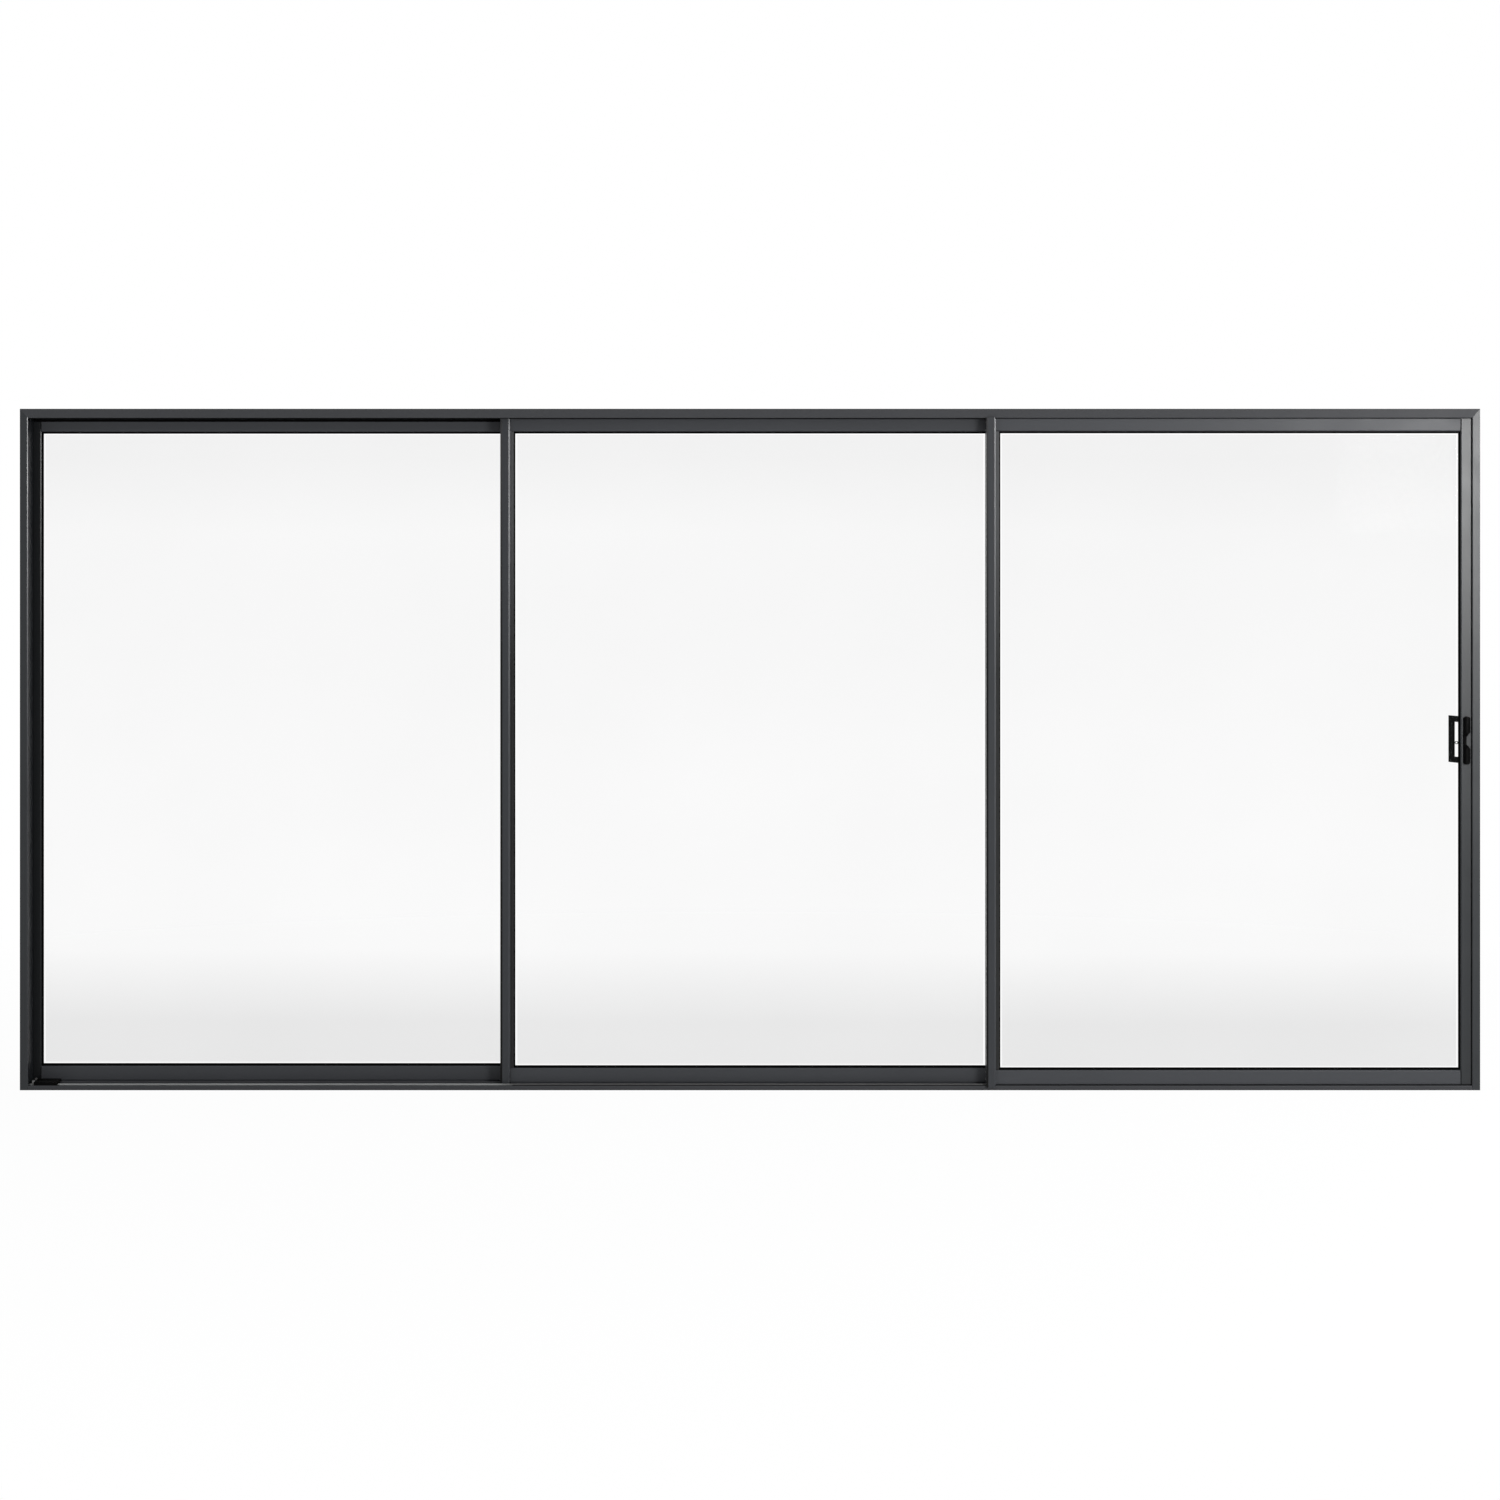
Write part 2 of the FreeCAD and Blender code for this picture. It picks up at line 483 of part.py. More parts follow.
def interlock_stile(name, track, edge):
    """A sliding leaf's left stile. Its nose's face is the full height, and the rest is cut back."""
    low = "(sill_lip - nose_overlap)"
    high = "(frame_height - head_lip + nose_rise)"
    body = new_body(name, x=edge, y=TRACKS[track], z=low)
    sketch = new_sketch(body, name + "_section", "XY_Plane")
    add_outline(sketch, interlock())
    add_outline(sketch, interlock_cavity())
    pad(body, sketch, name + "_bar", f"{high} - {low}")
    behind = f"(-sash_depth / 2 - {NOSE_REACH} + frame_wall)"
    rear = "(sash_depth / 2 + run_clearance + 2 * hook_wall + hook_gap)"
    sketch = new_sketch(body, name + "_ends", "YZ_Plane")
    add_outline(
        sketch,
        [(behind, "0"), (rear, "0"), (rear, f"{FOOT} - {low}"), (behind, f"{FOOT} - {low}")],
    )
    add_outline(
        sketch,
        [
            (behind, f"{CROWN} - {low}"),
            (rear, f"{CROWN} - {low}"),
            (rear, f"{high} - {low}"),
            (behind, f"{high} - {low}"),
        ],
    )
    pocket(body, sketch, name + "_end_cuts", INTERLOCK_FACE, back=True)
    # The glazing lip stops at the rails, which butt against the side of the nose.
    sketch = new_sketch(body, name + "_lip_ends", "XZ_Plane")
    for bottom, top in (
        ("0", f"{FOOT} + bottom_rail_face - {low}"),
        (f"{CROWN} - top_rail_face - {low}", f"{high} - {low}"),
    ):
        add_outline(
            sketch,
            [
                (NOSE_WIDTH, bottom),
                (INTERLOCK_FACE, bottom),
                (INTERLOCK_FACE, top),
                (NOSE_WIDTH, top),
            ],
        )
    pocket(body, sketch, name + "_lip_cuts", "2 * sash_depth", middle=True)


def meeting_stile(name, track, edge):
    """The stile at a leaf's right edge, hidden behind the next leaf's nose."""
    body = new_body(name, x=edge, y=TRACKS[track], z=FOOT)
    sketch = new_sketch(body, name + "_section", "XY_Plane")
    add_outline(sketch, facing(meeting(), u="-u"))
    add_outline(sketch, facing(meeting_cavity(), u="-u"))
    pad(body, sketch, name + "_bar", f"{CROWN} - {FOOT}")


def glazing(leaf, track, left, right):
    """Glass and its wrap-round gasket, between the glass edges of the two stiles."""
    low, high = f"({FOOT} + bottom_rail_face)", f"({CROWN} - top_rail_face)"
    in_gasket = "(glass_cover + gasket_heel)"

    def ring(out):
        """A rectangle that reaches into the slots by the given amount."""
        a, b = f"({left} - {out})", f"({right} + {out})"
        c, d = f"({low} - {out})", f"({high} + {out})"
        return [(a, c), (b, c), (b, d), (a, d)]

    body = new_body(f"{leaf}_glass", y=TRACKS[track])
    sketch = new_sketch(body, leaf + "_pane", "XZ_Plane")
    add_outline(sketch, ring("glass_cover"))
    pad(body, sketch, leaf + "_sheet", "glass_thickness", middle=True)

    body = new_body(f"{leaf}_gasket", y=TRACKS[track])
    sketch = new_sketch(body, leaf + "_gasket_ring", "XZ_Plane")
    add_outline(sketch, ring(in_gasket))
    add_outline(sketch, ring("(0 - gasket_reveal)"))
    pad(body, sketch, leaf + "_gasket_solid", f"2 * {SLOT_HALF}", middle=True)
    sketch = new_sketch(body, leaf + "_gasket_slot", "XZ_Plane")
    add_outline(sketch, ring("glass_cover"))
    pocket(body, sketch, leaf + "_gasket_cut", "glass_thickness", middle=True)


def roller(name, track, place):
    """A grooved roller on its axle, between the walls of the bottom rail."""
    height = f"({CAP_TOP} + roller_clearance + roller_radius - roller_groove)"
    body = new_body(name, x=place, y=TRACKS[track], z=height)
    sketch = new_sketch(body, name + "_profile", "XY_Plane")
    half = [("roller_radius - roller_groove", "groove_width / 2")]
    half += [("roller_radius", "groove_width / 2"), ("roller_radius", "roller_width / 2")]
    half += [("axle_radius", "roller_width / 2"), ("axle_radius", "(sash_depth / 2 - sash_wall)")]
    half += [("0", "(sash_depth / 2 - sash_wall)")]
    add_outline(sketch, half + [(u, f"-({v})") for u, v in reversed(half)])
    turned = body.newObject("PartDesign::Revolution", name + "_turning")
    turned.Profile = sketch
    turned.ReferenceAxis = (origin_part(body, "Y_Axis"), [""])
    turned.Angle = 360
    body.Tip = turned


# The fixed leaf stands in the rear track on two packers, pushed into the left jamb.
rails("left_leaf", "rear", f"({LEFT_OUT} + stile_face)", f"({LEFT_IN} - stile_face)")
plain_stile("left_leaf_jamb_stile", "rear", f"({LEFT_OUT} + stile_face)", "-u")
meeting_stile("left_leaf_meeting_stile", "rear", LEFT_IN)
glazing("left_leaf", "rear", f"({LEFT_OUT} + stile_face)", f"({LEFT_IN} - stile_face)")
for side, middle in (
    ("left", f"({LEFT_OUT} + packer_inset)"),
    ("right", f"({LEFT_IN} - packer_inset)"),
):
    name = f"left_leaf_{side}_packer"
    body = new_body(name, x=f"{middle} - packer_length / 2", y=TRACKS["rear"], z=CAP_TOP)
    sketch = new_sketch(body, name + "_section", "YZ_Plane")
    tall = f"({FOOT} + bottom_rail_face - slot_depth - sash_wall - {CAP_TOP})"
    wide = "(packer_width / 2)"
    add_outline(sketch, [(wide, "0"), (wide, tall), (f"-{wide}", tall), (f"-{wide}", "0")])
    pad(body, sketch, name + "_block", "packer_length")

# The two sliding leaves.
rails("middle_leaf", "middle", f"({MIDDLE_IN} + {NOSE_WIDTH})", f"({MIDDLE_OUT} - stile_face)")
interlock_stile("middle_leaf_interlock_stile", "middle", MIDDLE_IN)
meeting_stile("middle_leaf_meeting_stile", "middle", MIDDLE_OUT)
glazing("middle_leaf", "middle", f"({MIDDLE_IN} + {INTERLOCK_FACE})", f"({MIDDLE_OUT} - stile_face)")
roller("middle_leaf_left_roller", "middle", f"{MIDDLE_IN} + roller_inset")
roller("middle_leaf_right_roller", "middle", f"{MIDDLE_OUT} - roller_inset")

rails("right_leaf", "front", f"({RIGHT_IN} + {NOSE_WIDTH})", f"({RIGHT_OUT} - stile_face)")
interlock_stile("right_leaf_interlock_stile", "front", RIGHT_IN)
plain_stile("right_leaf_lock_stile", "front", f"({RIGHT_OUT} - stile_face)", "+u")
glazing("right_leaf", "front", f"({RIGHT_IN} + {INTERLOCK_FACE})", f"({RIGHT_OUT} - stile_face)")
roller("right_leaf_left_roller", "front", f"{RIGHT_IN} + roller_inset")
roller("right_leaf_right_roller", "front", f"{RIGHT_OUT} - roller_inset")

# The front housing: a base with a notch towards the jamb and a rounded rib above and below it.
FRONT_FACE = f"({TRACKS['front']} - sash_depth / 2)"
body = new_body("lock_housing", x=f"{RIGHT_OUT} - lock_edge", y=FRONT_FACE, z="lock_height")
sketch = new_sketch(body, "HousingBase", "XZ_Plane")
end, cut = "(lock_length / 2)", "(lock_width / 4)"
corners = [("0", f"{end} - {cut}"), (f"0 - {cut}", end), (f"{cut} - lock_width", end)]
corners += [("0 - lock_width", f"{end} - {cut}"), ("0 - lock_width", f"{cut} - {end}")]
corners += [(f"{cut} - lock_width", f"-{end}"), (f"0 - {cut}", f"-{end}"), ("0", f"{cut} - {end}")]
add_outline(sketch, corners)
pad(body, sketch, "HousingPlate", "lock_base")
sketch = new_sketch(body, "HousingRib", "XY_Plane", offset=f"rib_margin - {end}")
near, far = "(0 - lock_base)", "(0 - lock_base - rib_depth)"
left, right = "(rib_margin - lock_width)", "(rib_margin + rib_width - lock_width)"
corners = [(left, near), (left, f"{far} + rib_width / 3"), (f"{left} + rib_width / 3", far)]
corners += [(f"{right} - rib_width / 3", far), (right, f"{far} + rib_width / 3"), (right, near)]
add_outline(sketch, corners)
pad(body, sketch, "HousingLobes", f"lock_length - 2 * rib_margin")
sketch = new_sketch(body, "HousingWaist", "YZ_Plane")
waist = "(lock_base + rib_depth)"
add_outline(
    sketch,
    [
        (f"0 - {waist}", "notch_mouth / 2"),
        (f"0 - {waist}", "0 - notch_mouth / 2"),
        ("0 - lock_base - rib_depth / 3", "0 - notch_floor / 2"),
        ("0 - lock_base - rib_depth / 3", "notch_floor / 2"),
    ],
)
pocket(body, sketch, "HousingWaistCut", "lock_width")
sketch = new_sketch(body, "HousingNotch", "XZ_Plane")
corners = [("0", "0 - notch_mouth / 2"), ("0 - notch_depth", "0 - notch_floor / 2")]
corners += [("0 - notch_depth", "notch_floor / 2"), ("0", "notch_mouth / 2")]
add_outline(sketch, corners)
pocket(body, sketch, "HousingNotchCut", waist, back=True)

# The inside pull: a slotted blade that stands back from the stile and leans towards the glass.
BACK_FACE = f"({TRACKS['front']} + sash_depth / 2)"
body = new_body(
    "inside_pull", x=f"{RIGHT_OUT} - pull_edge", y=BACK_FACE, z="lock_height - pull_length / 2"
)
sketch = new_sketch(body, "PullSection", "XY_Plane")
corners = [("0", "0"), ("0", "pull_wall"), ("0 - pull_foot + pull_wall", "pull_wall")]
corners += [("0 - pull_foot + pull_wall - pull_splay", "pull_reach")]
corners += [("0 - pull_foot - pull_splay", "pull_reach"), ("0 - pull_foot", "0")]
add_outline(sketch, corners)
pad(body, sketch, "PullBlade", "pull_length")
sketch = new_sketch(body, "PullSlot", "YZ_Plane")
bottom = "(pull_length / 2 - slot_height / 2)"
top = "(pull_length / 2 + slot_height / 2)"
near, far = "(pull_wall + slot_start)", "(pull_wall + slot_start + slot_width)"
corners = [(near, f"{bottom} + slot_corner"), (f"{near} + slot_corner", bottom)]
corners += [(far, bottom), (far, top)]
corners += [(f"{near} + slot_corner", top), (near, f"{top} - slot_corner")]
add_outline(sketch, corners)
pocket(body, sketch, "PullSlotCut", "pull_foot + pull_splay")

# The latch lever: a post on the pull's foot and an arm that ends in a ring, through the finger slot.
body = new_body("latch_lever", x=RIGHT_OUT, y=f"{BACK_FACE} + pull_wall", z="lock_height - ring_drop")
ring_x = "(0 - stile_face - ring_offset)"
sketch = new_sketch(body, "LeverRing", "XZ_Plane", offset="0 - lever_gap - lever_wall")
add_circle(sketch, ring_x, "0", "ring_radius")
pad(body, sketch, "LeverRingSolid", "lever_wall")
sketch = new_sketch(body, "LeverArm", "XY_Plane", offset="0 - lever_width / 2")
post_in = "(0 - lever_edge - lever_wall)"
corners = [("0 - lever_edge", "0"), ("0 - lever_edge", "lever_gap + lever_wall")]
corners += [(ring_x, "lever_gap + lever_wall"), (ring_x, "lever_gap")]
corners += [(post_in, "lever_gap"), (post_in, "0")]
add_outline(sketch, corners)
pad(body, sketch, "LeverArmSolid", "lever_width")
sketch = new_sketch(body, "LeverBore", "XZ_Plane", offset="0 - lever_gap - lever_wall")
add_circle(sketch, ring_x, "0", "ring_bore")
pocket(body, sketch, "LeverBoreCut", "lever_wall", back=True)

# The stop on the back of the right leaf catches the middle leaf's edge and takes that leaf along.
body = new_body(
    "pick_up_stop",
    x=f"{RIGHT_OUT} - stop_inset",
    y=BACK_FACE,
    z=f"{FOOT} + stop_rise",
)
sketch = new_sketch(body, "StopSection", "XY_Plane")
corners = [("0", "0"), ("stop_length", "0"), ("stop_length", "stop_reach / 2")]
corners += [("stop_length - stop_reach / 2", "stop_reach"), ("0", "stop_reach")]
add_outline(sketch, corners)
pad(body, sketch, "StopBlock", "stop_height")

# Every feature and body must be sound before any file is written.
doc.recompute()
for item in doc.Objects:
    if "Invalid" in item.State or "Error" in item.State:
        raise RuntimeError(f"{item.Label} failed: {item.State}")
os.makedirs("parts", exist_ok=True)
pieces = [item for item in doc.Objects if item.TypeId == "PartDesign::Body"]
for piece in pieces:
    if piece.Shape.isNull() or not piece.Shape.isValid() or not piece.Shape.Solids:
        raise RuntimeError(f"{piece.Label} has no valid solid")
for piece in pieces:
    piece.Shape.exportStep(f"parts/{piece.Label}.step")
print(len(pieces), "pieces")
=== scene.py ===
"""Looks of a three-track aluminium patio door.

One leaf is fixed and two stack in front of it. +Z is up and +X is to the right of someone who
faces the front. All lengths are in metres.
"""

import bmesh
import bpy
import math
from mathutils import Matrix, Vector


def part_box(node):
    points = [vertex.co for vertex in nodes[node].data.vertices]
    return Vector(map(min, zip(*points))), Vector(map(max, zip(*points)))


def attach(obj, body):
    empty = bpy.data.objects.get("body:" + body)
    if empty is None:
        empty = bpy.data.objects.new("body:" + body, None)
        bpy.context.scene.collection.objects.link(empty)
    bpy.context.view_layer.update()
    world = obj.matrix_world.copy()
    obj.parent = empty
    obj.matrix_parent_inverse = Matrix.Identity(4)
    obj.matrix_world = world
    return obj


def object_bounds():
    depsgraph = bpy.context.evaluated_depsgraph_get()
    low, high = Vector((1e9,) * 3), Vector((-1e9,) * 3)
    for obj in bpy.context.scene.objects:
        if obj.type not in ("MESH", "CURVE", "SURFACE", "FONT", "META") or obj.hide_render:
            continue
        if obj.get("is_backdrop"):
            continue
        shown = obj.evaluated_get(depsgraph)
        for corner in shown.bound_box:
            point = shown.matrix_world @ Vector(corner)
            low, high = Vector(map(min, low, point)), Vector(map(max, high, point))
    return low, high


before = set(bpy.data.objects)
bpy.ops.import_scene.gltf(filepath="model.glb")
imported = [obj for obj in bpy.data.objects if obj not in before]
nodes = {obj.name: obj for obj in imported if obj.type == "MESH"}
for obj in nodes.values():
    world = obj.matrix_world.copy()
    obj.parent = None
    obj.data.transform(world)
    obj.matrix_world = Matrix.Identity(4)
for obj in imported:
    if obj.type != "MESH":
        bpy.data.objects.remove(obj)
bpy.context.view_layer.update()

# Head, jambs and sill. Aluminium extrusions with a charcoal powder coat, baked on as a satin skin
# with a faint orange peel. Head and jambs are mitred and the sill is screwed between the jambs.
LIP_BEVEL = 0.0025
SAME_POINT = 0.00001
FLAT_ANGLE = math.radians(0.5)
SHARP_ANGLE = math.radians(25)
BURNISH = 0.085
BURNISH_EDGE = 0.0002


class Wire:
    """A socket in a graph. Arithmetic on wires adds Math nodes."""

    def __init__(self, graph, socket):
        self.graph = graph
        self.socket = socket

    def __add__(self, other):
        return self.graph.add("Math", {"operation": "ADD"}, {0: self, 1: other})

    def __sub__(self, other):
        return self.graph.add("Math", {"operation": "SUBTRACT"}, {0: self, 1: other})

    def __mul__(self, other):
        return self.graph.add("Math", {"operation": "MULTIPLY"}, {0: self, 1: other})


class Graph:
    """A tree of shader nodes, with the node that its sockets are set on by default."""

    def __init__(self, tree, shader):
        self.tree = tree
        self.shader = tree.nodes[shader]

    def set(self, name, value, node=None):
        """Gives a socket of a node, or of the shader, a number, a colour or a wire."""
        sockets = (node or self.shader).inputs
        if isinstance(name, int):
            socket = sockets[name]
        else:
            socket = [s for s in sockets if s.name == name and s.enabled][0]
        if isinstance(value, Wire):
            self.tree.links.new(value.socket, socket)
        else:
            socket.default_value = value

    def add(self, kind, settings, values, out=None):
        """A node of the given kind, its settings first and then its sockets."""
        node = self.tree.nodes.new("ShaderNode" + kind)
        for name, value in settings.items():
            setattr(node, name, value)
        for name, value in values.items():
            self.set(name, value, node)
        open_ends = [s for s in node.outputs if s.enabled and out in (None, s.name)]
        return Wire(self, open_ends[0])

    def place(self):
        """Places on the object."""
        return self.add("TexCoord", {}, {}, out="Object")

    def along(self, axis):
        """Places on the object along one axis, X, Y or Z."""
        return self.add("SeparateXYZ", {}, {"Vector": self.place()}, out=axis)

    def noise(self, scale, detail=2.0, x=1.0, y=1.0, z=1.0):
        """A noise between 0 and 1, with so many grains in a metre times each axis's own factor."""
        stretched = self.add("Mapping", {}, {"Vector": self.place(), "Scale": (x, y, z)})
        values = {"Vector": stretched, "Scale": scale, "Detail": detail}
        return self.add("TexNoise", {}, values, out="Fac")

    def spread(self, wire, low, high, start=0.3, end=0.7):
        """The wire's values from start to end, brought to between low and high."""
        values = {"Value": wire, "From Min": start, "From Max": end, "To Min": low, "To Max": high}
        return self.add("MapRange", {}, values)

    def mix(self, factor, first, second):
        """A colour between two wires' colours, by a wire."""
        return self.add("Mix", {"data_type": "RGBA"}, {"Factor": factor, "A": first, "B": second})

    def blend(self, factor, first, second):
        """A colour between two plain colours, by a wire."""
        return self.mix(factor, (*first, 1.0), (*second, 1.0))

    def bump(self, height, distance):
        """Relief of the surface, with the height between 0 and 1 as deep as the distance."""
        values = {"Height": height, "Distance": distance, "Strength": 1.0}
        self.set("Normal", self.add("Bump", {}, values, out="Normal"))


class Finish(Graph):
    """One material, on the principled shader."""

    def __init__(self, name, colour, roughness, metallic=0.0):
        self.material = bpy.data.materials.new(name)
        self.material.use_nodes = True
        self.material.diffuse_color = (*colour, 1.0)
        super().__init__(self.material.node_tree, "Principled BSDF")
        self.set("Base Color", (*colour, 1.0))
        self.set("Roughness", roughness)
        self.set("Metallic", metallic)


def paint(name, finish):
    """Gives a solid its finish, and hands the solid back."""
    node = nodes[name]
    node.data.materials.clear()
    node.data.materials.append(finish.material)
    return node


def coat(name, finish, radius=0.0005, segments=2):
    """Gives a solid its finish, and its edges the small radius of the real piece."""
    node = paint(name, finish)
    weld = node.modifiers.new("OneSkin", "WELD")
    weld.merge_threshold = SAME_POINT
    flats = node.modifiers.new("Flats", "DECIMATE")
    flats.decimate_type = "DISSOLVE"
    flats.angle_limit = FLAT_ANGLE
    edge = node.modifiers.new("EdgeRadius", "BEVEL")
    edge.width = radius
    edge.segments = segments
    edge.limit_method = "ANGLE"
    edge.angle_limit = SHARP_ANGLE
    edge.use_clamp_overlap = True


def powder_coat(name, dark, pale, gloss, burnish=None):
    """A satin powder coat between two close colours, with faint orange peel.

    The gloss is its reflection level. A burnish is the two places along X, counted from the middle
    to either side, between which hands and leaves have rubbed it smoother.
    """
    finish = Finish(name, dark, 0.32)
    finish.set("Base Color", finish.blend(finish.noise(2.3, 3.0), dark, pale))
    satin = finish.spread(finish.noise(11.0, 4.0), 0.285, 0.335)
    if burnish:
        middle, half = sum(burnish) / 2, (burnish[1] - burnish[0]) / 2
        sideways = finish.add("Math", {"operation": "ABSOLUTE"}, {0: finish.along("X")})
        away = finish.add("Math", {"operation": "ABSOLUTE"}, {0: sideways - middle})
        satin = satin - finish.spread(away, BURNISH, 0.0, half, half + BURNISH_EDGE)
    finish.set("Roughness", satin)
    finish.set("Specular IOR Level", gloss)
    finish.bump(finish.noise(750.0), 0.00003)
    return finish


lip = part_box("right_jamb")[0][0]
# Lit and shaded copies of one coat, painted light and shade: head paler, jambs darkest and
# glossiest.
head_coat = powder_coat("charcoal_coat_head", (0.051, 0.052, 0.055), (0.059, 0.060, 0.063), 0.03)
sill_coat = powder_coat("charcoal_coat_sill", (0.041, 0.042, 0.045), (0.047, 0.048, 0.051), 0.08)
jamb_coat = powder_coat(
    "charcoal_coat_jambs",
    (0.014, 0.016, 0.018),
    (0.019, 0.021, 0.023),
    0.30,
    burnish=(lip, lip + LIP_BEVEL),
)
coat("head", head_coat, radius=0.0007)
coat("sill", sill_coat)
coat("left_jamb", jamb_coat, radius=0.0007)
coat("right_jamb", jamb_coat, radius=0.0007)

# Track caps. Aluminium channels clipped over the sill's ribs, on which the rollers run. The front
# one is natural anodised, bright in the open bay and painted darker further on, a painted shade
# under the leaves. The two behind it take the sill's dark coat, a painted shade of their recess.
SHADE_START = -0.79
SHADE_FULL = -0.73
rail = Finish("anodised_aluminium", (0.36, 0.37, 0.37), 0.40, metallic=1.0)
drawn = rail.noise(1.0, 3.0, x=1.5, y=1400.0, z=1400.0)
# Painted shade: the cap turns dark from the interlock stile on, under the leaves.
shaded_by_leaves = rail.spread(rail.along("X"), 0.0, 1.0, SHADE_START, SHADE_FULL)
bright = rail.blend(drawn, (0.30, 0.31, 0.31), (0.41, 0.42, 0.42))
painted_shade = rail.blend(drawn, (0.12, 0.12, 0.12), (0.17, 0.17, 0.17))
rail.set("Base Color", rail.mix(shaded_by_leaves, bright, painted_shade))
rail.set("Roughness", rail.spread(drawn, 0.32, 0.46))
rail.bump(drawn, 0.00002)
coat("front_track_cap", rail, radius=0.0003)
# The middle and rear caps take the sill's dark coat, a painted shade.
for name in ("middle_track_cap", "rear_track_cap"):
    coat(name, sill_coat, radius=0.0003)

# Wool piles. Black siliconised brush strips slid into the lips of head, sill and right jamb, which
# brush the legs of the leaves and keep out the draught. Each is a thin backing with a tapered pile.
LEG = 0.009
FRAME_WALL = 0.002
FIN_INNER = 0.021
FIN_OUTER = 0.023
PILE_HALF = 0.003
PILE_ROOT = 0.0012
PILE_LENGTH = 0.010
PILE_SHOULDER = 0.6
PILE_TIP = 0.5
PILE_GAP = 0.001
PILE_END_GAP = 0.002
BUFFER_GAP = 0.004
OPEN_BAY_DROP = 0.003
SIDE_PILE_FOOT = 0.022
SIDE_PILE_HEAD = 2.064


def bar(shape, section, axis, start, end):
    """Adds a bar to a mesh: a closed section on the two other axes, run from start to end."""
    ends = []
    for place in (start, end):
        corners = [(*at[:axis], place, *at[axis:]) for at in section]
        ends.append([shape.verts.new(corner) for corner in corners])
    first, last = ends
    for i in range(len(section)):
        j = (i + 1) % len(section)
        shape.faces.new((first[i], first[j], last[j], last[i]))
    shape.faces.new(first[::-1])
    shape.faces.new(last)


def piece(name, shape, finish, body):
    """Makes an object of a grown mesh, gives it its finish and lets it move with a body."""
    bmesh.ops.recalc_face_normals(shape, faces=shape.faces)
    mesh = bpy.data.meshes.new(name)
    shape.to_mesh(mesh)
    shape.free()
    mesh.materials.append(finish.material)
    made = bpy.data.objects.new(name, mesh)
    bpy.context.scene.collection.objects.link(made)
    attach(made, body)


def brush(root, way, middle, lean=0.0):
    """Section of a pile that grows from its root one way, 1 or -1, along a middle line."""
    backing, tip = root + way * PILE_ROOT, root + way * PILE_LENGTH
    along = [root, root, backing, backing, tip, tip, backing, backing]
    across = [-1.0, 1.0, 1.0, PILE_SHOULDER, PILE_TIP, -PILE_TIP, -PILE_SHOULDER, -1.0]
    bent = [0.0, 0.0, 0.0, lean, lean, lean, lean, 0.0]
    return [(a, middle + PILE_HALF * b + c) for a, b, c in zip(along, across, bent)]


wool = Finish("black_pile", (0.008, 0.008, 0.008), 0.95)
fibres = wool.noise(420.0, 3.0)
wool.set("Base Color", wool.blend(fibres, (0.003, 0.003, 0.003), (0.014, 0.014, 0.014)))
wool.set("Specular IOR Level", 0.0)
wool.bump(wool.noise(1600.0), 0.0003)
sill_low, sill_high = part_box("sill")
left_end, right_end = sill_low[0] + PILE_END_GAP, sill_high[0] - PILE_END_GAP
buffer_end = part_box("front_track_buffer")[1][0] + BUFFER_GAP
open_bay_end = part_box("middle_leaf_interlock_stile")[1][0]
lip_in = sill_high[1] - FRAME_WALL
above_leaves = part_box("right_leaf_top_rail")[1][2] - LEG + PILE_GAP + PILE_HALF
below_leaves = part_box("right_leaf_bottom_rail")[0][2] + LEG - PILE_GAP - PILE_HALF
beside_leaf = lip + PILE_HALF
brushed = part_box("right_leaf_lock_stile")[1][0] - LEG + PILE_GAP
lean_to_leaf = brushed + PILE_SHOULDER * PILE_HALF - beside_leaf
shape = bmesh.new()
for root, way in ((-lip_in, 1), (-FIN_INNER, 1), (FIN_INNER, -1), (FIN_OUTER, 1), (lip_in, -1)):
    bar(shape, brush(root, way, above_leaves), 0, left_end, right_end)
bar(shape, brush(-lip_in, 1, below_leaves - OPEN_BAY_DROP), 0, buffer_end, open_bay_end)
bar(shape, brush(-lip_in, 1, below_leaves), 0, open_bay_end, right_end)
for root, way in ((-lip_in, 1), (-FIN_OUTER, -1)):
    section = [(x, y) for y, x in brush(root, way, beside_leaf, lean_to_leaf)]
    bar(shape, section, 2, SIDE_PILE_FOOT, SIDE_PILE_HEAD)
piece("frame_wool_piles", shape, wool, "frame")

# Jamb infills. Channels that close the two tracks which the fixed leaf leaves unused, clipped into
# the left jamb. Their darker, flatter copy of the coat is painted shade, for the jamb's recess.
infill_coat = powder_coat("charcoal_coat_shaded_infills", (0.006, 0.007, 0.008), (0.009, 0.010, 0.011), 0.12)
for name in ("front_jamb_infill", "middle_jamb_infill"):
    coat(name, infill_coat)

# Brackets, buffers and pick-up stop. Small aluminium brackets on the tracks, with blocks of black
# moulded rubber against them that stop the leaves. The stop on the right leaf is the same rubber.
mill = Finish("mill_aluminium", (0.15, 0.15, 0.15), 0.5, metallic=1.0)
rolled = mill.noise(1.0, 3.0, x=900.0, y=60.0, z=900.0)
mill.set("Base Color", mill.blend(rolled, (0.12, 0.12, 0.12), (0.18, 0.18, 0.18)))
mill.set("Roughness", mill.spread(rolled, 0.44, 0.56))
for name in ("front_track_bracket", "middle_track_bracket"):
    coat(name, mill, radius=0.0004)
rubber = Finish("stop_rubber", (0.0015, 0.0015, 0.0015), 0.8)
bloom = rubber.noise(60.0, 4.0)
rubber.set("Base Color", rubber.blend(bloom, (0.001, 0.001, 0.001), (0.003, 0.003, 0.003)))
rubber.set("Specular IOR Level", 0.03)
rubber.bump(rubber.noise(1500.0), 0.00006)
for name in ("front_track_buffer", "middle_track_buffer", "pick_up_stop"):
    coat(name, rubber, radius=0.0012, segments=3)
